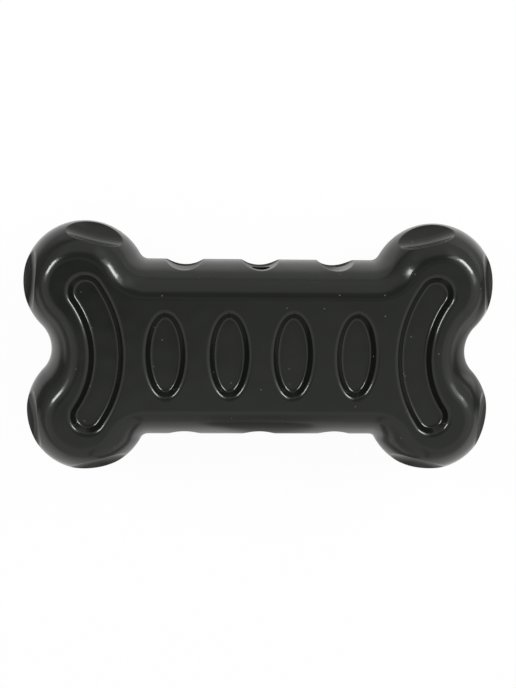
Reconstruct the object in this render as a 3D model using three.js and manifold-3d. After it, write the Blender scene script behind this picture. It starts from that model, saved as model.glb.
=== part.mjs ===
// A bone-shaped squeaky dog toy: two hollow rubber mouldings of one shape, cemented face to face, with a
// reed squeaker trapped in a boss behind the air hole, which is drilled in a long edge of the front one.
// Millimetres, +Z up. The toy lies on its back face, and its length runs along X.
import * as THREE from "three";
import { mergeVertices } from "three/addons/utils/BufferGeometryUtils.js";
import Module from "manifold-3d";

// Bone outline at the parting plane, where it is widest
const LOBE_RADIUS = 19.5;
const LOBE_X = 55.5;
const LOBE_Y = 20.8;
const BAR_HALF_WIDTH = 28.3;
const NOTCH_RADIUS = 10.5;
const BAR_FILLET = 3;

// Side profile and wall of each moulding
const HALF_THICKNESS = 17;
const SIDE_BULGE = 9.46;
const SHOULDER_FILLET = 5;
const WALL = 6;

// Layer of rubber cement between the mouldings
const SEAM_THICKNESS = 0.3;
const SEAM_SETBACK = 0.3;

// Recesses in each face: a row of ovals between two crescents that end on the lobes
const OVAL_COUNT = 4;
const OVAL_PITCH = 19.75;
const OVAL_WIDTH = 12.9;
const OVAL_LENGTH = 27.1;
const CRESCENT_WIDTH = 11.2;
const CRESCENT_BOW = 6;
const CRESCENT_END_INSET_X = 1.7;
const CRESCENT_END_INSET_Y = 1.4;
const RECESS_DEPTH = 2.7;
const RECESS_WALL_RUN = 2;

// Dished ovals on the lobes, two on each lobe of each moulding, placed by angles in degrees
const DISH_WIDTH = 17.8;
const DISH_HEIGHT = 12.6;
const DISH_HOLLOW = 1.1;
const DISH_RISE = 25.5;
const END_DISH_TURN = 5;
const EDGE_DISH_TURN = 104;

// Scoops along both long edges, with a draft in degrees away from the parting plane
const SCOOP_COUNT = 3;
const SCOOP_PITCH = 24;
const SCOOP_WIDTH = 11.7;
const SCOOP_DEPTH = 2.2;
const SCOOP_DRAFT = 2;

// Squeaker and the boss that traps it
const CLEARANCE = 0.3;
const AIR_HOLE_RADIUS = 2.9;
const AIR_HOLE_RISE = 4.6;
const AIR_GAP_RADIUS = 4.5;
const AIR_GAP_LENGTH = 0.7;
const SEAT_END_WALL = 2.2;
const BOSS_WALL = 2.7;
const BOSS_LIP_LENGTH = 1.2;
const BOSS_LIP_DEPTH = 1.1;
const CUP_RADIUS = 6;
const CUP_LENGTH = 14;
const CUP_WALL = 1;
const CUP_END_WALL = 1.5;
const SOCKET_RADIUS = 2.5;
const SOCKET_LENGTH = 4.5;
const SOCKET_WALL = 1.2;
const CAP_THICKNESS = 1.2;
const CAP_LEDGE = 0.7;
const CAP_HOLE_COUNT = 6;
const CAP_HOLE_RADIUS = 0.7;
const CAP_HOLE_CIRCLE = 2.9;
const REED_THICKNESS = 0.15;
const REED_WIDTH = 3.2;
const REED_TIP_RADIUS = 1.2;
const REED_TIP_GAP = 0.8;
const REED_ROOT_SETBACK = 0.5;
const CHANNEL_WIDTH = 2.2;
const CHANNEL_DEPTH = 1.1;
const CHANNEL_TIP_WALL = 1;

// Facet counts
const NOTCH_STEPS = 4;
const LOBE_STEPS = 17;
const FILLET_STEPS = 3;
const SIDE_STEPS = 5;
const SHOULDER_STEPS = 3;
const CAVITY_STEPS = 2;
const OVAL_STEPS = 28;
const CRESCENT_STEPS = 10;
const CRESCENT_END_STEPS = 7;
const DISH_STEPS = 20;
const DISH_RINGS = 3;
const SCOOP_STEPS = 48;
const ROUND_STEPS = 24;
const SMALL_ROUND_STEPS = 12;

// How far a cutter reaches past the surface that it cuts, and how close two vertices are to be one
const OVERCUT = 1;
const SAME_VERTEX = 1e-4;

const rubber = new THREE.MeshStandardMaterial({ color: 0x1c1d1c, roughness: 0.32, metalness: 0 });
const cement = new THREE.MeshStandardMaterial({ color: 0x131413, roughness: 0.6, metalness: 0 });
const blackPlastic = new THREE.MeshStandardMaterial({ color: 0x202022, roughness: 0.5, metalness: 0 });
const whitePlastic = new THREE.MeshStandardMaterial({ color: 0xe2e0d8, roughness: 0.45, metalness: 0 });
const polyester = new THREE.MeshStandardMaterial({ color: 0xd9c79a, roughness: 0.25, metalness: 0 });

const wasm = await Module();
wasm.setup();

// Solids and how they are joined and cut

function solid(geometry) {
  const bare = new THREE.BufferGeometry();
  bare.setAttribute("position", geometry.getAttribute("position"));
  bare.setIndex(geometry.index);
  const merged = mergeVertices(bare, SAME_VERTEX);
  const corners = merged.index.array;
  const triVerts = [];
  for (let i = 0; i < corners.length; i += 3) {
    const [a, b, c] = corners.subarray(i, i + 3);
    if (a !== b && b !== c && c !== a) triVerts.push(a, b, c);
  }
  const vertProperties = new Float32Array(merged.attributes.position.array);
  return new wasm.Manifold(
    new wasm.Mesh({ numProp: 3, vertProperties, triVerts: new Uint32Array(triVerts) }),
  );
}

const cut = (made, cutters) => cutters.reduce((rest, cutter) => rest.subtract(solid(cutter)), made);

function meshOf(name, made, material) {
  const { numVert, numProp, vertProperties, triVerts } = made.getMesh();
  const positions = new Float32Array(numVert * 3);
  for (let i = 0; i < numVert; i++) {
    positions.set(vertProperties.subarray(i * numProp, i * numProp + 3), i * 3);
  }
  const geometry = new THREE.BufferGeometry();
  geometry.setAttribute("position", new THREE.BufferAttribute(positions, 3));
  geometry.setIndex(new THREE.BufferAttribute(triVerts, 1));
  geometry.computeVertexNormals();
  const mesh = new THREE.Mesh(geometry, material);
  mesh.name = name;
  return mesh;
}

// A closed shape through rings of equal count, from the lowest up, each running anticlockwise.
function loft(rings) {
  const count = rings[0].points.length;
  const positions = rings.flatMap(({ points, z }) => points.flatMap(({ x, y }) => [x, y, z]));
  const index = [];
  for (let ring = 0; ring < rings.length - 1; ring++) {
    for (let i = 0; i < count; i++) {
      const a = ring * count + i;
      const b = ring * count + ((i + 1) % count);
      index.push(a, b, b + count, a, b + count, a + count);
    }
  }
  const top = (rings.length - 1) * count;
  for (const [a, b, c] of THREE.ShapeUtils.triangulateShape(rings[0].points, [])) {
    index.push(a, c, b);
  }
  for (const [a, b, c] of THREE.ShapeUtils.triangulateShape(rings.at(-1).points, [])) {
    index.push(top + a, top + b, top + c);
  }
  const geometry = new THREE.BufferGeometry();
  geometry.setAttribute("position", new THREE.Float32BufferAttribute(positions, 3));
  geometry.setIndex(index);
  return geometry;
}

// A bar along Y, whose section is drawn in X and Z.
function barAlongY(section, fromY, toY) {
  const options = { depth: toY - fromY, bevelEnabled: false, curveSegments: SMALL_ROUND_STEPS };
  return new THREE.ExtrudeGeometry(section, options).rotateX(Math.PI / 2).translate(0, toY, 0);
}

function cylinderAlongY(radius, fromY, toY, steps = ROUND_STEPS) {
  const geometry = new THREE.CylinderGeometry(radius, radius, toY - fromY, steps);
  return geometry.translate(0, (fromY + toY) / 2, 0);
}

function boxBetween(low, high) {
  const size = high.map((value, i) => value - low[i]);
  const middle = high.map((value, i) => (value + low[i]) / 2);
  return new THREE.BoxGeometry(...size).translate(...middle);
}

function turnedAboutY(profile) {
  const points = profile.map(([radius, y]) => new THREE.Vector2(radius, y));
  return new THREE.LatheGeometry(points, ROUND_STEPS);
}

const radians = THREE.MathUtils.degToRad;

// Outline of the bone

// Stations along an arc: points with normals that face out of the bone. A hollow arc bends round the outside.
function arc(centre, radius, from, to, steps, hollow = false) {
  return Array.from({ length: steps + 1 }, (_, i) => {
    const angle = from + ((to - from) * i) / steps;
    const away = new THREE.Vector2(Math.cos(angle), Math.sin(angle));
    const point = centre.clone().addScaledVector(away, radius);
    return { point, normal: hollow ? away.negate() : away };
  });
}

// One quarter, from the notch in the right end to where the straight upper edge starts.
function quarterOutline() {
  const notchReach = Math.sqrt((NOTCH_RADIUS + LOBE_RADIUS) ** 2 - LOBE_Y ** 2);
  const filletRise = BAR_HALF_WIDTH + BAR_FILLET - LOBE_Y;
  const filletReach = Math.sqrt((LOBE_RADIUS + BAR_FILLET) ** 2 - filletRise ** 2);
  const lobe = new THREE.Vector2(LOBE_X, LOBE_Y);
  const notch = new THREE.Vector2(LOBE_X + notchReach, 0);
  const fillet = new THREE.Vector2(LOBE_X - filletReach, BAR_HALF_WIDTH + BAR_FILLET);
  const notchToLobe = Math.atan2(LOBE_Y, -notchReach);
  const lobeToFillet = Math.atan2(filletRise, -filletReach);
  return [
    ...arc(notch, NOTCH_RADIUS, Math.PI, notchToLobe, NOTCH_STEPS, true),
    ...arc(lobe, LOBE_RADIUS, notchToLobe - Math.PI, lobeToFillet, LOBE_STEPS).slice(1),
    ...arc(fillet, BAR_FILLET, lobeToFillet - Math.PI, -Math.PI / 2, FILLET_STEPS, true).slice(1),
  ];
}

function mirrored(stations, x, y) {
  const flip = new THREE.Vector2(x, y);
  return stations.map(({ point, normal }) => ({
    point: point.clone().multiply(flip),
    normal: normal.clone().multiply(flip),
  }));
}

function boneOutline() {
  const upperRight = quarterOutline();
  const upperLeft = mirrored(upperRight, -1, 1).reverse();
  const lowerLeft = mirrored(upperRight, -1, -1);
  const lowerRight = mirrored(upperRight, 1, -1).reverse();
  return [...upperRight, ...upperLeft.slice(0, -1), ...lowerLeft, ...lowerRight.slice(0, -1)];
}

const outline = boneOutline();

function outlineInset(distance) {
  return outline.map(({ point, normal }) => point.clone().addScaledVector(normal, -distance));
}

const SIDE_RADIUS = (HALF_THICKNESS ** 2 + SIDE_BULGE ** 2) / (2 * SIDE_BULGE);

// Rings of the rounded side, from a height above the parting plane to the flat face, with a fillet between.
function sideRings({ depth, fillet, fromZ, sideSteps, filletSteps }) {
  const radius = SIDE_RADIUS - depth;
  const height = HALF_THICKNESS - depth;
  const filletX = Math.sqrt((radius - fillet) ** 2 - (height - fillet) ** 2);
  const filletZ = height - fillet;
  const start = Math.asin(fromZ / radius);
  const meeting = Math.atan2(filletZ, filletX);
  const stretch = (x, z, bend, from, to, steps) =>
    arc(new THREE.Vector2(x, z), bend, from, to, steps).map(({ point }) => point);
  const profile = [
    ...stretch(0, 0, radius, start, meeting, sideSteps),
    ...stretch(filletX, filletZ, fillet, meeting, Math.PI / 2, filletSteps).slice(1),
  ];
  return profile.map(({ x, y }) => ({ points: outlineInset(SIDE_RADIUS - x), z: y }));
}

// Cutters for the moulded recesses

function ovalPoints(halfWidth, halfLength) {
  return Array.from({ length: OVAL_STEPS }, (_, i) => {
    const angle = (2 * Math.PI * i) / OVAL_STEPS;
    return new THREE.Vector2(halfWidth * Math.cos(angle), halfLength * Math.sin(angle));
  });
}

// A band with round ends that bends round a centre beyond the right end of the bone.
function crescentPoints(halfWidth) {
  const endX = LOBE_X - CRESCENT_END_INSET_X;
  const endY = LOBE_Y - CRESCENT_END_INSET_Y;
  const bend = (endY ** 2 + CRESCENT_BOW ** 2) / (2 * CRESCENT_BOW);
  const centre = new THREE.Vector2(endX - CRESCENT_BOW + bend, 0);
  const upper = Math.PI - Math.asin(endY / bend);
  const lower = 2 * Math.PI - upper;
  const upperEnd = new THREE.Vector2(endX, endY);
  const lowerEnd = new THREE.Vector2(endX, -endY);
  const stations = [
    ...arc(centre, bend + halfWidth, upper, lower, CRESCENT_STEPS),
    ...arc(lowerEnd, halfWidth, lower, lower + Math.PI, CRESCENT_END_STEPS).slice(1, -1),
    ...arc(centre, bend - halfWidth, lower, upper, CRESCENT_STEPS),
    ...arc(upperEnd, halfWidth, upper + Math.PI, upper + 2 * Math.PI, CRESCENT_END_STEPS).slice(1, -1),
  ];
  return stations.map(({ point }) => point);
}

// A recess in the face, with walls that lean out from its floor. The outline is given for any growth.
function recess(outlineGrown) {
  const overRun = (OVERCUT * RECESS_WALL_RUN) / RECESS_DEPTH;
  return loft([
    { points: outlineGrown(-RECESS_WALL_RUN), z: HALF_THICKNESS - RECESS_DEPTH },
    { points: outlineGrown(overRun), z: HALF_THICKNESS + OVERCUT },
  ]);
}

// Places along X of a row that is centred on the bone.
function rowPlaces(count, pitch) {
  return Array.from({ length: count }, (_, i) => (i - (count - 1) / 2) * pitch);
}

function faceRecesses() {
  const oval = recess((growth) => ovalPoints(OVAL_WIDTH / 2 + growth, OVAL_LENGTH / 2 + growth));
  const crescent = recess((growth) => crescentPoints(CRESCENT_WIDTH / 2 + growth));
  const ovals = rowPlaces(OVAL_COUNT, OVAL_PITCH).map((x) => oval.clone().translate(x, 0, 0));
  return [crescent, crescent.clone().rotateZ(Math.PI), ...ovals];
}

// The space of a dish, about an axis that leaves the centre of a lobe along +Y. Its floor is a paraboloid
// that meets the lobe at the dish's width across the axis and at its height.
function dish(setback) {
  const halfWidth = DISH_WIDTH / 2;
  const halfHeight = DISH_HEIGHT / 2;
  const crown = (half) => LOBE_RADIUS - Math.sqrt(LOBE_RADIUS ** 2 - half ** 2);
  const depth = Math.max(crown(halfWidth), crown(halfHeight)) + DISH_HOLLOW;
  const bend = (half) => (2 * (depth - crown(half))) / half ** 2;
  const reach = halfHeight + OVERCUT + setback;
  const deepest = LOBE_RADIUS - depth - setback;
  const floor = Array.from({ length: DISH_RINGS + 1 }, (_, i) => {
    const radius = (reach * i) / DISH_RINGS;
    return new THREE.Vector2(radius, deepest + (bend(halfHeight) * radius ** 2) / 2);
  });
  const top = Math.max(LOBE_RADIUS, floor.at(-1).y) + OVERCUT;
  const profile = [...floor, new THREE.Vector2(reach, top), new THREE.Vector2(0, top)];
  const stretch = Math.sqrt(bend(halfHeight) / bend(halfWidth));
  return new THREE.LatheGeometry(profile, DISH_STEPS).scale(stretch, 1, 1);
}

function lobeDishes(setback = 0) {
  const raised = dish(setback).rotateX(radians(DISH_RISE));
  const dishes = [];
  for (const [x, y] of [[1, 1], [-1, 1], [-1, -1], [1, -1]]) {
    for (const turn of [END_DISH_TURN, EDGE_DISH_TURN].map(radians)) {
      const facing = Math.atan2(y * Math.sin(turn), x * Math.cos(turn));
      const placed = raised.clone().rotateZ(facing - Math.PI / 2);
      dishes.push(placed.translate(x * LOBE_X, y * LOBE_Y, 0));
    }
  }
  return dishes;
}

function edgeScoops(setback = 0) {
  const radius = ((SCOOP_WIDTH / 2) ** 2 + SCOOP_DEPTH ** 2) / (2 * SCOOP_DEPTH);
  const spread = Math.tan(radians(SCOOP_DRAFT)) * HALF_THICKNESS;
  const widest = radius + setback + spread;
  const narrowest = radius + setback - spread;
  const scoop = new THREE.CylinderGeometry(widest, narrowest, 2 * HALF_THICKNESS, SCOOP_STEPS)
    .rotateX(Math.PI / 2)
    .translate(0, BAR_HALF_WIDTH - SCOOP_DEPTH + radius, 0);
  return rowPlaces(SCOOP_COUNT, SCOOP_PITCH).flatMap((x) => {
    const upper = scoop.clone().translate(x, 0, 0);
    return [upper, upper.clone().rotateZ(Math.PI)];
  });
}

// Places along Y of the squeaker's seat, from the outer end inwards
const SEAT_OUTER_Y = BAR_HALF_WIDTH - SCOOP_DEPTH - SEAT_END_WALL;
const CUP_OUTER_Y = SEAT_OUTER_Y - CLEARANCE;
const SEAT_INNER_Y = CUP_OUTER_Y - CUP_LENGTH - CLEARANCE;
const BOSS_INNER_Y = SEAT_INNER_Y - BOSS_LIP_LENGTH;
const BOSS_OUTER_Y = BAR_HALF_WIDTH;
const SEAT_RADIUS = CUP_RADIUS + CLEARANCE;
const BOSS_RADIUS = SEAT_RADIUS + BOSS_WALL;

function squeakerSeat() {
  return [
    cylinderAlongY(SEAT_RADIUS, SEAT_INNER_Y, SEAT_OUTER_Y),
    cylinderAlongY(SEAT_RADIUS - BOSS_LIP_DEPTH, BOSS_INNER_Y - OVERCUT, SEAT_INNER_Y + OVERCUT),
    cylinderAlongY(AIR_GAP_RADIUS, SEAT_OUTER_Y - OVERCUT, SEAT_OUTER_Y + AIR_GAP_LENGTH),
  ];
}

function airHole() {
  const hole = cylinderAlongY(AIR_HOLE_RADIUS, SEAT_OUTER_Y - CLEARANCE, BAR_HALF_WIDTH + OVERCUT);
  return hole.translate(0, 0, AIR_HOLE_RISE);
}

// The moulding that serves as front and as back, lying above the parting plane.
function halfShell() {
  const fromZ = SEAM_THICKNESS / 2;
  const body = solid(
    loft(
      sideRings({
        depth: 0,
        fillet: SHOULDER_FILLET,
        fromZ,
        sideSteps: SIDE_STEPS,
        filletSteps: SHOULDER_STEPS,
      }),
    ),
  );
  const hollow = sideRings({ depth: WALL, fillet: 0, fromZ: 0, sideSteps: CAVITY_STEPS, filletSteps: 0 });
  const cavity = solid(loft([{ points: hollow[0].points, z: -OVERCUT }, ...hollow]));
  const above = boxBetween([-BOSS_RADIUS, BOSS_INNER_Y, fromZ], [BOSS_RADIUS, BOSS_OUTER_Y, BOSS_RADIUS]);
  const boss = solid(cylinderAlongY(BOSS_RADIUS, BOSS_INNER_Y, BOSS_OUTER_Y)).intersect(solid(above));
  const moulding = body.subtract(cavity).add(boss.intersect(body));
  return cut(moulding, [...squeakerSeat(), ...faceRecesses(), ...lobeDishes(), ...edgeScoops()]);
}

// The cement, which covers the rim of the mouldings and the faces of the boss, set back from the outside.
function seamBond() {
  const half = SEAM_THICKNESS / 2;
  const slab = (inset, reach) =>
    solid(
      loft([
        { points: outlineInset(inset), z: -reach },
        { points: outlineInset(inset), z: reach },
      ]),
    );
  const whole = slab(SEAM_SETBACK, half);
  const bossFaces = boxBetween([-BOSS_RADIUS, BOSS_INNER_Y, -half], [BOSS_RADIUS, BOSS_OUTER_Y, half]);
  const rim = whole.subtract(slab(WALL, OVERCUT));
  const layer = rim.add(solid(bossFaces).intersect(whole));
  return cut(layer, [...squeakerSeat(), ...lobeDishes(SEAM_SETBACK), ...edgeScoops(SEAM_SETBACK)]);
}

// Squeaker pieces, about the Y axis, with the outer end of the cup at the origin
const SOCKET_Y = -SOCKET_LENGTH;
const CAP_Y = CAP_THICKNESS - CUP_LENGTH;
const TIP_Y = CAP_Y + REED_TIP_GAP;
const CUP_BORE = CUP_RADIUS - CUP_WALL;
const STACK_RADIUS = SOCKET_RADIUS - CLEARANCE;
const SEAT_FLAT = -REED_THICKNESS / 2 - CLEARANCE;
const CLAMP_FLAT = REED_THICKNESS / 2 + CLEARANCE;

// A cup that opens into the hollow of the bone, with a socket for the reed in its end wall.
function squeakerCup() {
  const socketOuter = SOCKET_RADIUS + SOCKET_WALL;
  const chamber = CUP_BORE - CAP_LEDGE;
  return solid(
    turnedAboutY([
      [SOCKET_RADIUS, 0],
      [SOCKET_RADIUS, SOCKET_Y],
      [socketOuter, SOCKET_Y],
      [socketOuter, -CUP_END_WALL],
      [chamber, -CUP_END_WALL],
      [chamber, CAP_Y],
      [CUP_BORE, CAP_Y],
      [CUP_BORE, -CUP_LENGTH],
      [CUP_RADIUS, -CUP_LENGTH],
      [CUP_RADIUS, 0],
      [SOCKET_RADIUS, 0],
    ]),
  );
}

// A disc with air holes, which sits in the mouth of the cup.
function squeakerCap() {
  const disc = cylinderAlongY(CUP_BORE - CLEARANCE, -CUP_LENGTH, CAP_Y);
  const hole = cylinderAlongY(CAP_HOLE_RADIUS, -CUP_LENGTH - OVERCUT, CAP_Y + OVERCUT, SMALL_ROUND_STEPS);
  const holes = Array.from({ length: CAP_HOLE_COUNT }, (_, i) =>
    hole.clone().translate(CAP_HOLE_CIRCLE, 0, 0).rotateY((2 * Math.PI * i) / CAP_HOLE_COUNT),
  );
  return cut(solid(disc), holes);
}

// A half-round bar with an air channel under the reed, closed at the tip and open to the air hole.
function reedSeat() {
  const from = Math.PI - Math.asin(SEAT_FLAT / STACK_RADIUS);
  const section = new THREE.Shape().absarc(0, 0, STACK_RADIUS, from, 3 * Math.PI - from, false);
  const channel = boxBetween(
    [-CHANNEL_WIDTH / 2, TIP_Y + CHANNEL_TIP_WALL, SEAT_FLAT - CHANNEL_DEPTH],
    [CHANNEL_WIDTH / 2, OVERCUT, SEAT_FLAT + OVERCUT],
  );
  return cut(solid(barAlongY(section, TIP_Y, 0)), [channel]);
}

// A short half-round wedge that holds the root of the reed in the socket.
function reedClamp() {
  const from = Math.asin(CLAMP_FLAT / STACK_RADIUS);
  const section = new THREE.Shape().absarc(0, 0, STACK_RADIUS, from, Math.PI - from, false);
  return solid(barAlongY(section, SOCKET_Y, 0));
}

// A thin tongue with a rounded tip, about the edge of the clamp, where it bends.
function reed() {
  const half = REED_WIDTH / 2;
  const tip = TIP_Y - SOCKET_Y;
  const root = SOCKET_LENGTH - REED_ROOT_SETBACK;
  const corner = tip + REED_TIP_RADIUS;
  const outlineOfReed = new THREE.Shape()
    .moveTo(half, root)
    .lineTo(-half, root)
    .lineTo(-half, corner)
    .absarc(-half + REED_TIP_RADIUS, corner, REED_TIP_RADIUS, Math.PI, 1.5 * Math.PI, false)
    .absarc(half - REED_TIP_RADIUS, corner, REED_TIP_RADIUS, 1.5 * Math.PI, 2 * Math.PI, false);
  const options = { depth: REED_THICKNESS, bevelEnabled: false, curveSegments: SMALL_ROUND_STEPS / 4 };
  return solid(new THREE.ExtrudeGeometry(outlineOfReed, options).translate(0, 0, -REED_THICKNESS / 2));
}

// Assembly

const reedTongue = meshOf("reed", reed(), polyester);
reedTongue.position.y = SOCKET_Y;

const squeaker = new THREE.Group();
squeaker.position.y = CUP_OUTER_Y;
squeaker.add(
  meshOf("squeaker_cup", squeakerCup(), blackPlastic),
  meshOf("squeaker_cap", squeakerCap(), blackPlastic),
  meshOf("reed_seat", reedSeat(), whitePlastic),
  meshOf("reed_clamp", reedClamp(), whitePlastic),
  reedTongue,
);

const moulding = halfShell();
const backShell = meshOf("back_shell", moulding, rubber);
backShell.rotation.y = Math.PI;

const toy = new THREE.Group();
toy.position.z = HALF_THICKNESS;
toy.add(meshOf("front_shell", cut(moulding, [airHole()]), rubber), backShell);
toy.add(meshOf("seam_bond", seamBond(), cement), squeaker);

const placed = new THREE.Group();
placed.add(toy);

export default placed;
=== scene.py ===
import functools
import math

import bmesh
import bpy
import numpy as np
from mathutils import Matrix, Vector
from mathutils.geometry import delaunay_2d_cdt
from mathutils.kdtree import KDTree


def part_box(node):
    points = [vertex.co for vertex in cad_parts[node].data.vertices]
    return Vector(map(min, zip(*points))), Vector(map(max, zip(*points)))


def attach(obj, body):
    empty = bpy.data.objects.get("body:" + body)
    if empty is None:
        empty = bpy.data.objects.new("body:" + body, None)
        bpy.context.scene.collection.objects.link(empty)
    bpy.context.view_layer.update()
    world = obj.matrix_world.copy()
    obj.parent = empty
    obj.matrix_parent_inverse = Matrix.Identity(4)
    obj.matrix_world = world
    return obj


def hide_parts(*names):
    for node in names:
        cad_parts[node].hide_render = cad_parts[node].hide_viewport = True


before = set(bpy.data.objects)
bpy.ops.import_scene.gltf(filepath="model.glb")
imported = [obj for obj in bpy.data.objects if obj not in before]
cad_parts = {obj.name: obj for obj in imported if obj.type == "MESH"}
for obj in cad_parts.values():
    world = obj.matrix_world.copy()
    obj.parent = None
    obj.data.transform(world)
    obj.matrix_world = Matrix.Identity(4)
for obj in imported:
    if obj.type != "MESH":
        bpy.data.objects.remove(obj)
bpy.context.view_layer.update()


# Squeaker cup and cap
# The cup that holds the reed, and the perforated disc pressed into its mouth.
# Both are injection moulded in black polypropylene, with a dull spark-eroded skin.


class Shade:
    """A socket in a material's node tree. Arithmetic on it adds Math nodes to that tree."""

    # Sockets of a Mix node that carry colours
    FIRST_COLOUR = 6
    SECOND_COLOUR = 7
    MIXED_COLOUR = 2

    def __init__(self, tree, socket=None):
        self.tree = tree
        self.socket = socket

    def node(self, kind, settings, inputs, output=0):
        """Adds a node, sets it up, then fills its inputs, and gives one of its outputs."""
        made = self.tree.nodes.new(kind)
        for name, value in settings.items():
            setattr(made, name, value)
        for name, value in inputs.items():
            if isinstance(value, Shade):
                self.tree.links.new(value.socket, made.inputs[name])
            else:
                made.inputs[name].default_value = value
        return Shade(self.tree, made.outputs[output] if made.outputs else None)

    def math(self, operation, first, second):
        return self.node("ShaderNodeMath", {"operation": operation}, {0: first, 1: second})

    def __add__(self, other):
        return self.math("ADD", self, other)

    def __radd__(self, other):
        return self.math("ADD", other, self)

    def __sub__(self, other):
        return self.math("SUBTRACT", self, other)

    def __rsub__(self, other):
        return self.math("SUBTRACT", other, self)

    def __mul__(self, other):
        return self.math("MULTIPLY", self, other)

    def __rmul__(self, other):
        return self.math("MULTIPLY", other, self)

    def __lt__(self, other):
        return self.math("LESS_THAN", self, other)

    def as_share(self):
        """This number, which runs from -1 to 1, as a share from 0 to 1."""
        return 0.5 + 0.5 * self

    def place(self):
        """The place on the surface, in metres."""
        return self.node("ShaderNodeTexCoord", {}, {}, "Object")

    def noise(self, size, detail=2.0):
        """Soft blotches of about the given size in metres, from 0 to 1."""
        inputs = {"Vector": self.place(), "Scale": 1 / size, "Detail": detail}
        return self.node("ShaderNodeTexNoise", {}, inputs, "Fac")

    def speck(self, spacing, radius):
        """1 on small round specks, scattered at about a spacing in metres, and 0 elsewhere."""
        inputs = {"Vector": self.place(), "Scale": 1 / spacing}
        return self.node("ShaderNodeTexVoronoi", {}, inputs, "Distance") < radius / spacing

    def ray(self, kind):
        """1 for one kind of ray, and 0 for the others."""
        return self.node("ShaderNodeLightPath", {}, {}, kind)

    def ramp(self, stops):
        """Numbers that follow this one from 0 to 1, in straight lines between (place, number) stops."""
        made = self.tree.nodes.new("ShaderNodeValToRGB")
        self.tree.links.new(self.socket, made.inputs["Fac"])
        elements = made.color_ramp.elements
        while len(elements) < len(stops):
            elements.new(1)
        for element, (place, number) in zip(elements, stops):
            element.position = place
            element.color = (number, number, number, 1)
        return Shade(self.tree, made.outputs["Color"])

    def mix(self, share, first, second):
        """A colour between two, by a share from 0 to 1."""
        inputs = {"Factor": share, self.FIRST_COLOUR: first, self.SECOND_COLOUR: second}
        return self.node("ShaderNodeMix", {"data_type": "RGBA"}, inputs, self.MIXED_COLOUR)

    def bump(self, height, depth):
        """A normal for a relief whose height runs from 0 to 1 over a depth in metres."""
        return self.node("ShaderNodeBump", {}, {"Strength": 1, "Distance": depth, "Height": height})


def finish_of(name, fixed, varied):
    """A material with one shader: fixed values, and values that vary over the surface, made by a function."""
    material = bpy.data.materials.new(name)
    material.use_nodes = True
    shader = material.node_tree.nodes["Principled BSDF"]
    for socket, value in fixed.items():
        shader.inputs[socket].default_value = value
    for socket, shade in varied(Shade(material.node_tree)).items():
        material.node_tree.links.new(shade.socket, shader.inputs[socket])
    return material


# Edges that turn less than this are shaded smooth
SMOOTH_ANGLE = math.radians(35)


def dress(node, material):
    """Gives a CAD node its finish, and smooth shading on its round walls."""
    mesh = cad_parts[node].data
    mesh.materials.clear()
    mesh.materials.append(material)
    mesh.shade_smooth()
    mesh.set_sharp_from_angle(angle=SMOOTH_ANGLE)


def cup_plastic(shade):
    flow = shade.noise(size=0.004)
    sparks = shade.noise(size=0.0002, detail=3.0)
    return {
        "Base Color": shade.mix(flow, (0.024, 0.024, 0.026, 1), (0.036, 0.036, 0.038, 1)),
        "Roughness": 0.42 + 0.16 * flow,
        "Normal": shade.bump(sparks, depth=0.00003),
    }


black_plastic = finish_of("cup_plastic", {"IOR": 1.49}, cup_plastic)
dress("squeaker_cup", black_plastic)
dress("squeaker_cap", black_plastic)


# Reed seat and reed clamp
# A half-round bar with an air channel, and the wedge that pinches the reed's root against it.
# Moulded in natural polystyrene, a warm white with faint flow marks, pushed into the cup's socket.


def natural_plastic(shade):
    flow = shade.noise(size=0.0025, detail=4.0)
    return {
        "Base Color": shade.mix(flow, (0.72, 0.69, 0.62, 1), (0.80, 0.78, 0.72, 1)),
        "Roughness": 0.36 + 0.14 * flow,
        "Normal": shade.bump(shade.noise(size=0.0003), depth=0.00002),
    }


translucent = {"Subsurface Weight": 0.1, "Subsurface Scale": 0.001}
white_plastic = finish_of("reed_plastic", translucent, natural_plastic)
dress("reed_seat", white_plastic)
dress("reed_clamp", white_plastic)


# Reed
# The tongue that sounds: a strip of amber polyester film, stamped to shape and pinched at its root.
# It is clear, with a smooth rolled skin and fine scuffs.


def film(shade):
    scuffs = shade.noise(size=0.0006, detail=5.0)
    return {
        "Base Color": shade.mix(scuffs, (0.66, 0.54, 0.30, 1), (0.72, 0.61, 0.38, 1)),
        "Roughness": 0.14 + 0.16 * scuffs,
    }


dress("reed", finish_of("reed_film", {"Transmission Weight": 0.5, "IOR": 1.58}, film))


# Cement between the mouldings
# A thin layer of rubber cement that bonds the halves at the parting plane, cured black.
# It lies a little below the skin, so the joint shows as a fine dull line round the side.


def cured_cement(shade):
    patches = shade.noise(size=0.0015, detail=3.0)
    return {
        "Base Color": shade.mix(patches, (0.010, 0.010, 0.010, 1), (0.018, 0.018, 0.018, 1)),
        "Roughness": 0.5 + 0.25 * patches,
        "Normal": shade.bump(patches, depth=0.00008),
    }


dress("seam_bond", finish_of("cement", {}, cured_cement))


# Rubber mouldings
# The front and back of the bone are one hollow moulding used twice, in black natural rubber.
# It is compression moulded with pockets, dishes and scoops, and the front one is drilled for air.

# Outline at the parting plane, in millimetres like all sizes of the moulding
LOBE_RADIUS = 19.5
LOBE_X = 55.5
LOBE_Y = 20.8
BAR_HALF_WIDTH = 28.3
NOTCH_RADIUS = 10.5
BAR_FILLET = 3

# Rounded side, shoulder and wall
HALF_THICKNESS = 17
SIDE_RADIUS = 20
SHOULDER_FILLET = 5
WALL = 6
SEAM_HALF = 0.15

# Points on the side are placed by their distance along this inset line and up the profile
MID_INSET = 5
SIDE_SPACING = 0.9
SHOULDER_SPACING = 0.42

# Places are rounded to these decimals, so that the patches meet, and points this near are one
DECIMALS = 6
SAME_POINT = 1e-7

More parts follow.
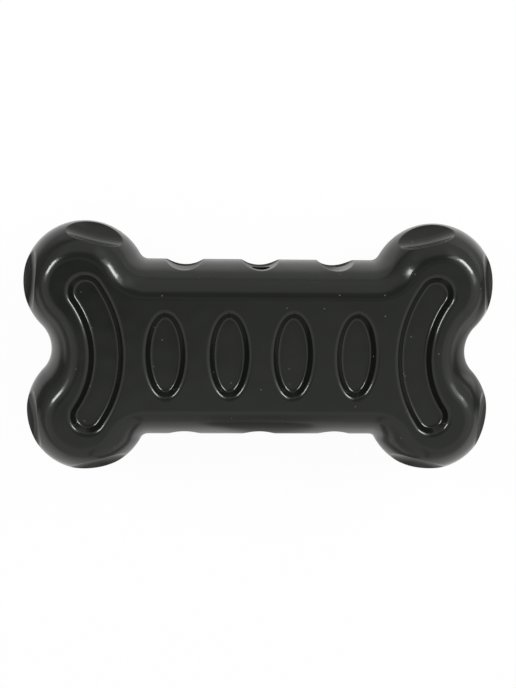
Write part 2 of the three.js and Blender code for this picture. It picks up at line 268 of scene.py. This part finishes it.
notch_x = LOBE_X + math.sqrt((NOTCH_RADIUS + LOBE_RADIUS) ** 2 - LOBE_Y**2)
fillet_y = BAR_HALF_WIDTH + BAR_FILLET
fillet_x = LOBE_X - math.sqrt((LOBE_RADIUS + BAR_FILLET) ** 2 - (fillet_y - LOBE_Y) ** 2)
notch_turn = math.atan2(LOBE_Y, LOBE_X - notch_x)
fillet_turn = math.atan2(fillet_y - LOBE_Y, fillet_x - LOBE_X)

# A quarter of the outline from the notch to the long edge: centre, radius, turns, and -1 for a hollow arc
outline_arcs = (
    ((notch_x, 0), NOTCH_RADIUS, math.pi, notch_turn, -1),
    ((LOBE_X, LOBE_Y), LOBE_RADIUS, notch_turn - math.pi, fillet_turn, 1),
    ((fillet_x, fillet_y), BAR_FILLET, fillet_turn - math.pi, -math.pi / 2, -1),
)
arc_lengths = [
    (radius - facing * MID_INSET) * abs(last - first) for centre, radius, first, last, facing in outline_arcs
]
outline_length = round(sum(arc_lengths) + fillet_x, DECIMALS)


def outline_at(along):
    """Points of the quarter outline, and normals that face out of the bone."""
    point = np.column_stack((outline_length - along, np.full(len(along), BAR_HALF_WIDTH, float)))
    normal = np.tile((0.0, 1.0), (len(along), 1))
    end = sum(arc_lengths)
    for (centre, radius, first, last, facing), length in reversed(list(zip(outline_arcs, arc_lengths))):
        turn = last + (along - end) / length * (last - first)
        away = np.column_stack((np.cos(turn), np.sin(turn)))
        here = (along < end)[:, None]
        point = np.where(here, np.array(centre) + radius * away, point)
        normal = np.where(here, facing * away, normal)
        end -= length
    return point, normal


shoulder_height = HALF_THICKNESS - SHOULDER_FILLET
shoulder_inset = SIDE_RADIUS - math.sqrt((SIDE_RADIUS - SHOULDER_FILLET) ** 2 - shoulder_height**2)
seam_turn = math.asin(SEAM_HALF / SIDE_RADIUS)
shoulder_turn = math.atan2(shoulder_height, SIDE_RADIUS - shoulder_inset)
side_length = SIDE_RADIUS * (shoulder_turn - seam_turn)
profile_length = round(side_length + SHOULDER_FILLET * (math.pi / 2 - shoulder_turn), DECIMALS)


def profile_at(up):
    """Inset and height of the side's profile, at distances up from the seam."""
    on_side = up < side_length
    bend = np.where(on_side, SIDE_RADIUS, SHOULDER_FILLET)
    turn = np.where(on_side, seam_turn, shoulder_turn) + (up - np.where(on_side, 0, side_length)) / bend
    inset = np.where(on_side, SIDE_RADIUS, shoulder_inset) - bend * np.cos(turn)
    height = np.where(on_side, 0, shoulder_height) + bend * np.sin(turn)
    return inset, height


def plain_side(places):
    """Points of the side before it is dished and scooped, for distances along and up."""
    point, normal = outline_at(places[:, 0])
    inset, height = profile_at(places[:, 1])
    return np.column_stack((point - inset[:, None] * normal, height))


# Dished ovals on each knob, by the turn of each round the knob and its rise above the parting plane
DISH_WIDTH = 17.8
DISH_HEIGHT = 12.6
DISH_HOLLOW = 1.1
DISH_RISE = math.radians(25.5)
DISH_TURNS = (math.radians(5), math.radians(104))

half_width = DISH_WIDTH / 2
half_height = DISH_HEIGHT / 2
width_crown = LOBE_RADIUS - math.sqrt(LOBE_RADIUS**2 - half_width**2)
height_crown = LOBE_RADIUS - math.sqrt(LOBE_RADIUS**2 - half_height**2)
dish_depth = max(width_crown, height_crown) + DISH_HOLLOW


def dish(turn):
    """The axis of a dish, and a function for how far its floor lies below each point along that axis."""
    flat = np.array((math.cos(turn), math.sin(turn), 0))
    axis = math.cos(DISH_RISE) * flat + (0, 0, math.sin(DISH_RISE))
    across = np.array((-math.sin(turn), math.cos(turn), 0))
    upward = np.cross(axis, across)

    def depth(points):
        away = points - (LOBE_X, LOBE_Y, 0)
        rise_across = (dish_depth - width_crown) * (away @ across / half_width) ** 2
        rise_upward = (dish_depth - height_crown) * (away @ upward / half_height) ** 2
        return away @ axis - (LOBE_RADIUS - dish_depth + rise_across + rise_upward)

    return axis, depth


# Scoops along the long edges, cut across the parting plane with a little draft
SCOOP_PLACES = (0, 24)
SCOOP_WIDTH = 11.7
SCOOP_DEPTH = 2.2
SCOOP_DRAFT = math.radians(2)
scoop_radius = ((SCOOP_WIDTH / 2) ** 2 + SCOOP_DEPTH**2) / (2 * SCOOP_DEPTH)


def scoop(x):
    """The axis of a scoop, and a function for how far its floor lies below each point along that axis."""

    def depth(points):
        radius = scoop_radius + math.tan(SCOOP_DRAFT) * points[:, 2]
        reach = radius**2 - (points[:, 0] - x) ** 2
        floor = BAR_HALF_WIDTH - SCOOP_DEPTH + scoop_radius - np.sqrt(np.maximum(reach, 0))
        return np.where(reach > 0, points[:, 1] - floor, -radius)

    return np.array((0.0, 1.0, 0.0)), depth


cuts = [dish(turn) for turn in DISH_TURNS] + [scoop(x) for x in SCOOP_PLACES]

# Half the width over which a cut's rim is rounded
RIM_EASE = 0.16


def moulded_side(places):
    """Points of the finished side: each cut moves them in along its axis, with an eased rim."""
    points = plain_side(places)
    for axis, depth in cuts:
        deep = depth(points)
        eased = (deep + RIM_EASE) ** 2 / (4 * RIM_EASE)
        points = points - np.where(abs(deep) < RIM_EASE, eased, np.maximum(deep, 0))[:, None] * axis
    return points


# Rings of points that follow each rim, so that its round edge is crisp
RIM_OFFSETS = (-1.1, -0.6, -0.32, -0.18, -0.06, 0.06, 0.18, 0.32, 0.6, 1.1)
RIM_REACH = 15
RIM_CLEARANCE = 0.42
DISH_RAYS = 94
SCOOP_RAYS = 42
BISECTIONS = 30


def rim_rings(depth, centre, turns):
    """Rings beside the rim of a cut, at distances along and up, found on rays from a place inside it."""
    rays = np.column_stack((np.cos(turns), np.sin(turns)))
    inside_cut = np.zeros(len(turns))
    outside_cut = np.full(len(turns), float(RIM_REACH))
    for _ in range(BISECTIONS):
        middle = (inside_cut + outside_cut) / 2
        deep = depth(plain_side(centre + middle[:, None] * rays)) > 0
        inside_cut = np.where(deep, middle, inside_cut)
        outside_cut = np.where(deep, outside_cut, middle)
    return [centre + (inside_cut + offset)[:, None] * rays for offset in RIM_OFFSETS]


def clear_of(points, kept, distance):
    """The points that lie further than a distance from those already kept."""
    tree = KDTree(len(kept))
    for i, (x, y) in enumerate(kept):
        tree.insert((x, y, 0), i)
    tree.balance()
    return np.array([p for p in points if tree.find((p[0], p[1], 0))[2] > distance])


def triangulated(rings, loose, border=()):
    """Triangles through rings, kept as edges, and loose points. A border keeps those inside it alone."""
    points = []
    edges = []
    for ring in rings:
        edges += [(len(points) + i, len(points) + i + 1) for i in range(len(ring) - 1)]
        points += [tuple(p) for p in np.round(ring, DECIMALS)]
    points += [tuple(p) for p in np.round(loose, DECIMALS)]
    bounds = [list(range(len(points), len(points) + len(border)))] if len(border) else []
    points += [tuple(p) for p in np.round(border, DECIMALS)]
    made, _, triangles, origins, _, _ = delaunay_2d_cdt(points, edges, bounds, len(bounds), SAME_POINT)
    return np.array([tuple(p) for p in made]), triangles, [origin[0] for origin in origins]


dish_middle = SIDE_RADIUS * (DISH_RISE - seam_turn)
lobe_scale = LOBE_RADIUS - MID_INSET
lobe_start = arc_lengths[0] - lobe_scale * (notch_turn - math.pi)
dish_rays = np.linspace(0, 2 * math.pi, DISH_RAYS + 1)
scoop_rays = np.linspace(0, math.pi, SCOOP_RAYS + 1)

# Places inside each cut, and the rays from it that stay within the quarter
rim_centres = [((lobe_start + lobe_scale * turn, dish_middle), dish_rays) for turn in DISH_TURNS]
rim_centres += [
    ((outline_length - x, 0), scoop_rays if x else scoop_rays[SCOOP_RAYS // 2 :]) for x in SCOOP_PLACES
]
side_rings = []
for (axis, depth), (centre, turns) in zip(cuts, rim_centres):
    side_rings += rim_rings(depth, np.array(centre), turns)

stations = [np.zeros(1)]
for length in arc_lengths + [fillet_x]:
    count = math.ceil(length / SIDE_SPACING)
    stations.append(stations[-1][-1] + length * np.arange(1, count + 1) / count)
stations = np.concatenate(stations)
stations[-1] = outline_length
side_count = math.ceil(side_length / SIDE_SPACING)
shoulder_count = math.ceil((profile_length - side_length) / SHOULDER_SPACING)
side_rows = np.linspace(0, side_length, side_count + 1)
shoulder_rows = np.linspace(side_length, profile_length, shoulder_count + 1)[1:]
lattice = np.array([(s, t) for t in np.concatenate((side_rows, shoulder_rows)) for s in stations])
lattice = clear_of(lattice, np.concatenate(side_rings), RIM_CLEARANCE)
side_places, side_faces, _ = triangulated(side_rings, lattice)
side_points = moulded_side(side_places)

# Pockets in the face: the upper halves of two ovals and of one crescent lie in the quarter
OVAL_PLACES = (9.875, 29.625)
OVAL_WIDTH = 12.9
OVAL_LENGTH = 27.1
CRESCENT_WIDTH = 11.2
CRESCENT_BOW = 6
CRESCENT_END = (53.8, 19.4)
POCKET_DEPTH = 2.7
POCKET_WALL_RUN = 2
MOUTH_RADIUS = 1.7
FLOOR_RADIUS = 1.25
GUARD = 0.2
BEND_STEPS = 10
POCKET_STEPS = 64

wall_lean = math.atan2(POCKET_DEPTH, POCKET_WALL_RUN)
mouth_start = MOUTH_RADIUS * math.tan(wall_lean / 2)
floor_start = -POCKET_WALL_RUN - FLOOR_RADIUS * math.tan(wall_lean / 2)
bends = np.linspace(0, wall_lean, BEND_STEPS + 1)

# Growth of a pocket's outline, and depth below the face, from outside the mouth to the floor
pocket_profile = [(mouth_start + GUARD, 0)]
for a in bends:
    pocket_profile.append((mouth_start - MOUTH_RADIUS * math.sin(a), MOUTH_RADIUS * (1 - math.cos(a))))
for a in reversed(bends):
    rise = FLOOR_RADIUS * (1 - math.cos(a))
    pocket_profile.append((floor_start + FLOOR_RADIUS * math.sin(a), POCKET_DEPTH - rise))
pocket_profile.append((floor_start - GUARD, POCKET_DEPTH))


def half_oval(x, growth):
    """The upper half of an oval about a place on the long axis, grown on all sides."""
    turns = np.linspace(0, math.pi, POCKET_STEPS + 1)
    across = x + (OVAL_WIDTH / 2 + growth) * np.cos(turns)
    return np.column_stack((across, (OVAL_LENGTH / 2 + growth) * np.sin(turns)))


def half_crescent(growth):
    """A band that bends round a centre beyond the end of the bone, with a round end on the knob."""
    end_x, end_y = CRESCENT_END
    bend = (end_y**2 + CRESCENT_BOW**2) / (2 * CRESCENT_BOW)
    centre_x = end_x - CRESCENT_BOW + bend
    tip = math.pi - math.asin(end_y / bend)
    half = CRESCENT_WIDTH / 2 + growth
    band = np.linspace(math.pi, tip, POCKET_STEPS // 2)
    cap = np.linspace(tip, tip - math.pi, POCKET_STEPS // 2)[1:-1]
    outer = np.column_stack((centre_x + (bend + half) * np.cos(band), (bend + half) * np.sin(band)))
    end = np.column_stack((end_x + half * np.cos(cap), end_y + half * np.sin(cap)))
    inner = np.column_stack((centre_x + (bend - half) * np.cos(band), (bend - half) * np.sin(band)))
    return np.concatenate((outer, end, inner[::-1]))


def inside(points, ring):
    """Which points lie inside a closed ring, by how many of its edges lie to their right."""
    x, y = points[:, :1], points[:, 1:]
    ring = np.round(ring, DECIMALS)
    step = np.roll(ring, -1, axis=0) - ring
    crossed = (ring[:, 1] > y) != (ring[:, 1] + step[:, 1] > y)
    meeting = ring[:, 0] + step[:, 0] * (y - ring[:, 1]) / np.where(crossed, step[:, 1], 1)
    return (crossed & (meeting > x)).sum(axis=1) % 2 == 1


# The face is filled with points, apart from the pockets' walls, whose rings carry their shape
FACE_SPACING = 1.6
FACE_CLEARANCE = 0.7
outline_points, outline_normals = outline_at(stations)
face_edge = outline_points - shoulder_inset * outline_normals
face_guard = outline_points - (shoulder_inset + GUARD) * outline_normals
pockets = [functools.partial(half_oval, x) for x in OVAL_PLACES] + [half_crescent]
face_rings = [(grown(growth), depth) for grown in pockets for growth, depth in pocket_profile]
face_rings.append((face_guard, 0))
across = np.arange(0, LOBE_X + LOBE_RADIUS, FACE_SPACING)
upward = np.arange(0, LOBE_Y + LOBE_RADIUS, FACE_SPACING)
fill = np.array([(x, y) for x in across for y in upward])
fill = clear_of(fill, np.concatenate([ring for ring, depth in face_rings] + [face_edge]), FACE_CLEARANCE)
on_floor = np.any([inside(fill, grown(pocket_profile[-1][0])) for grown in pockets], axis=0)
in_mouth = np.any([inside(fill, grown(pocket_profile[0][0])) for grown in pockets], axis=0)
fill_depths = np.where(on_floor, POCKET_DEPTH, 0)[on_floor | ~in_mouth]
fill = fill[on_floor | ~in_mouth]
border = np.concatenate((face_edge, [(0.0, 0.0)]))
ring_depths = [np.full(len(ring), depth, float) for ring, depth in face_rings]
depths = np.concatenate(ring_depths + [fill_depths, np.zeros(len(border))])
face_places, face_faces, origins = triangulated([ring for ring, depth in face_rings], fill, border)
face_points = np.column_stack((face_places, HALF_THICKNESS - depths[origins]))

# A millimetre, and the distance at which the patches are welded, in metres
MM = 0.001
WELD = 1e-6
seam_low, seam_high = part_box("seam_bond")
PARTING_Z = (seam_low[2] + seam_high[2]) / 2


def mesh_of(name, points, faces):
    """A mesh in metres, in the toy's frame, from points in millimetres about the parting plane."""
    mesh = bpy.data.meshes.new(name)
    mesh.from_pydata((np.asarray(points) * MM + (0, 0, PARTING_Z)).tolist(), [], faces)
    return mesh


def object_of(name, data):
    """An object in the scene, from a mesh, a light or a camera."""
    made = bpy.data.objects.new(name, data)
    bpy.context.scene.collection.objects.link(made)
    return made


def closed(mesh):
    """Welds a mesh's patches and fills what is open, with its faces pointing out."""
    work = bmesh.new()
    work.from_mesh(mesh)
    bmesh.ops.remove_doubles(work, verts=work.verts, dist=WELD)
    bmesh.ops.delete(work, geom=[v for v in work.verts if not v.link_faces], context="VERTS")
    bmesh.ops.edgeloop_fill(work, edges=[e for e in work.edges if e.is_boundary])
    bmesh.ops.recalc_face_normals(work, faces=work.faces)
    work.to_mesh(mesh)
    work.free()
    return mesh


quarter_points = np.concatenate((side_points, face_points))
quarter_faces = [list(f) for f in side_faces] + [[i + len(side_points) for i in f] for f in face_faces]
points = []
faces = []
for x, y in ((1, 1), (-1, 1), (-1, -1), (1, -1)):
    start = len(points) * len(quarter_points)
    points.append(quarter_points * (x, y, 1))
    faces += [[i + start for i in (f if x * y > 0 else f[::-1])] for f in quarter_faces]
front = object_of("front_moulding", closed(mesh_of("front_moulding", np.concatenate(points), faces)))


def loft(name, rings):
    """A closed body through rings of equal count."""
    count = len(rings[0])
    faces = []
    for ring in range(len(rings) - 1):
        for i in range(count):
            a = ring * count + i
            b = ring * count + (i + 1) % count
            faces.append((a, b, b + count, a + count))
    return object_of(name, closed(mesh_of(name, np.concatenate(rings), faces)))


def carve(body, operation, tool):
    """Joins a tool to a body, or cuts it away, and removes the tool."""
    step = body.modifiers.new(operation, "BOOLEAN")
    step.operation = operation
    step.solver = "EXACT"
    step.object = tool
    evaluated = body.evaluated_get(bpy.context.evaluated_depsgraph_get())
    body.data = closed(bpy.data.meshes.new_from_object(evaluated))
    body.modifiers.clear()
    bpy.data.objects.remove(tool)


# Hollow, squeaker boss and the seat in it, with a gap at its end that the air hole opens into
HOLLOW_ROWS = 5
CUP_CLEARANCE = 0.3
AIR_HOLE_RADIUS = 2.9
AIR_HOLE_RISE = 4.6
AIR_GAP_RADIUS = 4.5
AIR_GAP_LENGTH = 0.7
BOSS_WALL = 2.7
LIP_LENGTH = 1.2
LIP_DEPTH = 1.1
OVERCUT = 1
ROUND_STEPS = 64

hollow_radius = SIDE_RADIUS - WALL
hollow_turns = np.linspace(0, math.asin((HALF_THICKNESS - WALL) / hollow_radius), HOLLOW_ROWS)
hollow_profile = [(WALL, -OVERCUT)]
for a in hollow_turns:
    hollow_profile.append((SIDE_RADIUS - hollow_radius * math.cos(a), hollow_radius * math.sin(a)))
hollow_points, hollow_normals = outline_at(stations[::2])
hollow_rings = []
for inset, height in hollow_profile:
    quarter = hollow_points - inset * hollow_normals
    upper = np.concatenate((quarter, (quarter * (-1, 1))[::-1][1:]))
    whole = np.concatenate((upper, (upper * (1, -1))[::-1][1:-1]))
    hollow_rings.append(np.column_stack((whole, np.full(len(whole), height))))
carve(front, "DIFFERENCE", loft("hollow", hollow_rings))

cup_low, cup_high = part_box("squeaker_cup")
seat_inner = cup_low[1] / MM - CUP_CLEARANCE
seat_outer = cup_high[1] / MM + CUP_CLEARANCE
seat_radius = cup_high[0] / MM + CUP_CLEARANCE
lip_radius = seat_radius - LIP_DEPTH
boss_inner = seat_inner - LIP_LENGTH
boss_turns = np.linspace(0, math.pi, ROUND_STEPS // 2 + 1)
boss_section = (seat_radius + BOSS_WALL) * np.column_stack((np.cos(boss_turns), np.sin(boss_turns)))
boss_section[:, 1] = np.maximum(boss_section[:, 1], SEAM_HALF)
boss_rings = [np.insert(boss_section, 1, y, axis=1) for y in (boss_inner, seat_outer)]
carve(front, "UNION", loft("boss", boss_rings))

round_turns = np.linspace(0, 2 * math.pi, ROUND_STEPS, endpoint=False)


def turned_along_y(name, steps, rise=0):
    """A body round an axis along Y, at a rise above the parting plane, through radii at places on it."""
    rings = []
    for radius, y in steps:
        across = radius * np.cos(round_turns)
        rings.append(np.column_stack((across, np.full(ROUND_STEPS, y), rise + radius * np.sin(round_turns))))
    return loft(name, rings)


seat_steps = (
    (lip_radius, boss_inner - OVERCUT),
    (lip_radius, seat_inner),
    (seat_radius, seat_inner),
    (seat_radius, seat_outer),
    (AIR_GAP_RADIUS, seat_outer),
    (AIR_GAP_RADIUS, seat_outer + AIR_GAP_LENGTH),
)
carve(front, "DIFFERENCE", turned_along_y("seat", seat_steps))


# Edges of the mouldings that turn less than this are shaded smooth
RUBBER_SMOOTH_ANGLE = math.radians(40)


def black_rubber(shade):
    bloom = shade.noise(size=0.022, detail=4.0)
    grain = shade.noise(size=0.0005, detail=3.0)
    skin = shade.noise(size=0.004)
    swell = shade.noise(size=0.012, detail=1.0)
    dust = shade.speck(spacing=0.005, radius=0.00024)
    black = shade.mix(bloom, (0.0054, 0.0060, 0.0053, 1), (0.0072, 0.0079, 0.0070, 1))
    return {
        "Base Color": shade.mix(dust, black, (0.065, 0.065, 0.06, 1)),
        "Roughness": 0.1 + 0.05 * bloom + 0.03 * skin + 0.3 * dust,
        "Normal": shade.bump(0.05 * grain + swell, depth=0.0002),
    }


rubber = finish_of("rubber", {"IOR": 1.55, "Specular Tint": (0.965, 1, 0.93, 1)}, black_rubber)
front.data.materials.append(rubber)
back = object_of("back_moulding", front.data.copy())
half_turn = Matrix.Translation((0, 0, PARTING_Z)) @ Matrix.Rotation(math.pi, 4, "Y")
back.data.transform(half_turn @ Matrix.Translation((0, 0, -PARTING_Z)))
hole_steps = ((AIR_HOLE_RADIUS, seat_outer - CUP_CLEARANCE), (AIR_HOLE_RADIUS, BAR_HALF_WIDTH + OVERCUT))
carve(front, "DIFFERENCE", turned_along_y("air_hole", hole_steps, AIR_HOLE_RISE))
for moulding, node in ((front, "front_shell"), (back, "back_shell")):
    moulding.data.shade_smooth()
    moulding.data.set_sharp_from_angle(angle=RUBBER_SMOOTH_ANGLE)
    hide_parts(node)
    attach(moulding, "toy")


# Floor
# The table that the toy lies on. In reflections its colour is painted light: a painted pool of light
# round the toy, painted shade that is grey further off and dark beyond its ends, a painted shadow under its
# middle, and painted dark patches in front of that and beside one notch. The camera sees it white, with the
# toy's shadow.
FLOOR_HALF = 2.0

# Painted pool of light round the toy, seen only in reflections, falling off towards a reach in metres
LIGHT_POOL_REACH = (0.205, 0.13, 1)
LIGHT_POOL_STOPS = ((0.2, 0), (0.5, 1))

# Painted shade further off, seen only in reflections: its brightness across the toy and, above its upper
# edge, also along it
SIDE_SPREAD = 0.1
LOWER_STOPS = ((0.1, 0.8), (0.45, 0.15))
UPPER_STOPS = ((0.65, 0), (1, 0.38))
LEFT_SPREAD = 0.2
LEFT_STOPS = ((0.05, 0.1), (0.3, 1))

# Painted shade: a painted shadow under the middle, and painted dark patches in front of it and beside the
# right notch
PAINTED_SHADOW_SIZE = (0.05, 0.0353)
PAINTED_SHADOW_STOPS = ((0.64, 0), (0.8, 1))
FRONT_PLACE = (0.006, -0.26, 0)
FRONT_REACH = (0.03, 0.26, 1)
FRONT_STOPS = ((0, 1), (0.2, 0.3))
NOTCH_PLACE = (0.125, -0.012, 0)
NOTCH_REACH = (0.075, 0.018, 1)
NOTCH_STOPS = ((0, 1), (0.3, 0.4))

# Colours: the dark of the painted shade, and white. Shares of glow in what the camera sees, and of glow as
# painted light in reflections
PAINTED_SHADE_COLOUR = (0.08, 0.08, 0.07, 1)
WHITE_COLOUR = (0.9, 0.9, 0.9, 1)
SEEN_GLOW = 0.96
PAINTED_GLOSS_GLOW = 0.33

floor_corners = [(x * FLOOR_HALF, y * FLOOR_HALF, 0) for x, y in ((-1, -1), (1, -1), (1, 1), (-1, 1))]
floor = object_of("floor", bpy.data.meshes.new("floor"))
floor.data.from_pydata(floor_corners, [], [(0, 1, 2, 3)])
table = bpy.data.materials.new("table")
table.use_nodes = True
table.node_tree.nodes.clear()
paint = Shade(table.node_tree)


def patch(shade, vector, place, reach):
    """1 at a place, falling to 0 at a reach from it along each axis."""
    shift = [-middle / length for middle, length in zip(place, reach)]
    scale = [1 / length for length in reach]
    inputs = {"Vector": vector, "Location": shift, "Scale": scale}
    spread = shade.node("ShaderNodeMapping", {}, inputs)
    return shade.node("ShaderNodeTexGradient", {"gradient_type": "SPHERICAL"}, {"Vector": spread}, "Fac")


# Painted light: the floor is painted white round the toy for reflections, as a pool of light
painted_light_pool = patch(paint, paint.place(), (0, 0, 0), LIGHT_POOL_REACH).ramp(LIGHT_POOL_STOPS)
along, across = [paint.node("ShaderNodeSeparateXYZ", {}, {"Vector": paint.place()}, axis) for axis in "XY"]
side = (across * (1 / SIDE_SPREAD)).as_share()
left = (along * (1 / LEFT_SPREAD)).as_share().ramp(LEFT_STOPS)
# Painted shade: further off, the floor is painted in greys that reflections see, varying across the toy and,
# above it, along it
painted_far_shade = side.ramp(LOWER_STOPS) + side.ramp(UPPER_STOPS) * left
# A painted shadow under the toy's middle: ends and edges are 0 under it and 1 beyond it
ends, edges = [
    (place * place * (1 / half**2)).ramp(PAINTED_SHADOW_STOPS) for place, half in zip((along, across), PAINTED_SHADOW_SIZE)
]
front_painted_shade = patch(paint, paint.place(), FRONT_PLACE, FRONT_REACH).ramp(FRONT_STOPS)
notch_painted_shade = patch(paint, paint.place(), NOTCH_PLACE, NOTCH_REACH).ramp(NOTCH_STOPS)
# Painted shade: clear is low in the painted shadow and the painted dark patches, and 1 elsewhere
clear = (ends + edges - ends * edges) * front_painted_shade * notch_painted_shade
seen = paint.ray("Is Camera Ray") + paint.ray("Is Transmission Ray")
# Reflections see the painted shade, the painted pool of light and the painted greys further off
reflected = paint.mix(clear, PAINTED_SHADE_COLOUR, paint.mix(painted_light_pool, painted_far_shade, WHITE_COLOUR))
matt = paint.node("ShaderNodeBsdfDiffuse", {}, {"Color": paint.mix(seen, reflected, WHITE_COLOUR)})
glow = paint.node("ShaderNodeEmission", {}, {"Color": (1, 1, 1, 1), "Strength": 1})
# The glow in reflections is painted light too, kept to the pool round the toy and out of the painted shade
share = SEEN_GLOW * seen + PAINTED_GLOSS_GLOW * painted_light_pool * clear * paint.ray("Is Glossy Ray")
top = paint.node("ShaderNodeMixShader", {}, {0: share, 1: matt, 2: glow})
paint.node("ShaderNodeOutputMaterial", {}, {"Surface": top})
floor.data.materials.append(table)


# Light
# A room with a dark strip above the upper edge, paler walls beyond both ends, and dark cards above the
# upper knobs and in front of the lower edge. Soft boxes with wide rims stand off the upper corners.

# Brightness of the room across the toy, of the walls along it, and where the low part begins
DOME_LOWER_STOPS = ((0.02, 0.64), (0.29, 0.71), (0.37, 0.52), (0.46, 0.37))
DOME_UPPER_STOPS = ((0.58, 0.35), (0.66, 0.2), (0.85, 0.22), (0.95, 0.55))
WALL_STOPS = ((0.07, 0.36), (0.2, 0.3), (0.33, 0), (0.62, 0), (0.73, 0.48), (0.95, 0.54))
WALL_SIDE_STOPS = ((0.25, 0), (0.5, 1))
LOW_STOPS = ((0.55, 1), (0.65, 0))

# Direction, reach and darkening of each card, which is as dark at any height
ANY_HEIGHT = 1e6
CARDS = (
    ((-0.18, -0.09, 0), (0.26, 0.16, ANY_HEIGHT), 0.31),
    ((0.18, 0.03, 0), (0.17, 0.15, ANY_HEIGHT), 0.14),
    ((0.047, -0.9, 0), (0.08, 0.45, ANY_HEIGHT), 0.3),
)

# Brightness low in the room, its slant along the toy and its rise to both sides
LOW_LEVEL = 0.42
LOW_SLANT = 0.12
LOW_SPREAD = 0.15

world = bpy.data.worlds.new("studio")
bpy.context.scene.world = world
world.use_nodes = True
world.node_tree.nodes.clear()
sky = Shade(world.node_tree)
direction = sky.node("ShaderNodeTexCoord", {}, {}, "Generated")
x, y, z = [sky.node("ShaderNodeSeparateXYZ", {}, {"Vector": direction}, axis) for axis in "XYZ"]
walls = x.as_share().ramp(WALL_STOPS) * y.as_share().ramp(WALL_SIDE_STOPS)
dome = y.as_share().ramp(DOME_LOWER_STOPS + DOME_UPPER_STOPS) + walls
low = LOW_LEVEL + LOW_SLANT * x + LOW_SPREAD * y * y
level = dome + z.as_share().ramp(LOW_STOPS) * (low - dome)
for place, reach, darkening in CARDS:
    level -= darkening * patch(sky, direction, place, reach)
shown = sky.ray("Is Camera Ray") + sky.ray("Is Transmission Ray")
strength = level + shown * (1 - level)
backdrop = sky.node("ShaderNodeBackground", {}, {"Color": (1, 1, 1, 1), "Strength": strength})
sky.node("ShaderNodeOutputWorld", {}, {"Surface": backdrop})

# Name, turn from the right and rise in degrees, width, height and power of each box
BOXES = (
    ("left_box", 155, 34, 0.25, 0.16, 1.65),
    ("left_rim", 156, 34, 0.4, 0.25, 0.3),
    ("right_box", 31, 34, 0.27, 0.18, 2.1),
    ("right_rim", 30, 38, 0.55, 0.32, 0.85),
)
BOX_DISTANCE = 0.7
for name, azimuth, elevation, width, height, watts in BOXES:
    lamp = bpy.data.lights.new(name, "AREA")
    lamp.shape = "RECTANGLE"
    lamp.size = width
    lamp.size_y = height
    lamp.energy = watts
    holder = object_of(name, lamp)
    a = math.radians(azimuth)
    e = math.radians(elevation)
    towards = Vector((math.cos(a) * math.cos(e), math.sin(a) * math.cos(e), math.sin(e)))
    holder.location = BOX_DISTANCE * towards
    holder.rotation_euler = towards.to_track_quat("Z", "Y").to_euler()


# Camera
# Above the toy and a little towards its upper edge, as in the photograph, on a long lens.
CAMERA_DISTANCE = 0.3346
CAMERA_AIM = (-0.0004, 0.0009, PARTING_Z)
CAMERA_PAN = math.radians(-2.54)
CAMERA_TILT = math.radians(10.1)
CAMERA_ROLL = math.radians(0.725)
CAMERA_LENS = 54
CAMERA_SENSOR = 36
camera = object_of("camera", bpy.data.cameras.new("camera"))
camera.data.lens = CAMERA_LENS
camera.data.sensor_width = CAMERA_SENSOR
turned = Matrix.Rotation(CAMERA_PAN, 4, "Y") @ Matrix.Rotation(-CAMERA_TILT, 4, "X")
turned = turned @ Matrix.Rotation(CAMERA_ROLL, 4, "Z")
camera.matrix_world = Matrix.Translation(CAMERA_AIM) @ turned @ Matrix.Translation((0, 0, CAMERA_DISTANCE))
bpy.context.scene.camera = camera
bpy.context.scene.view_settings.view_transform = "Standard"
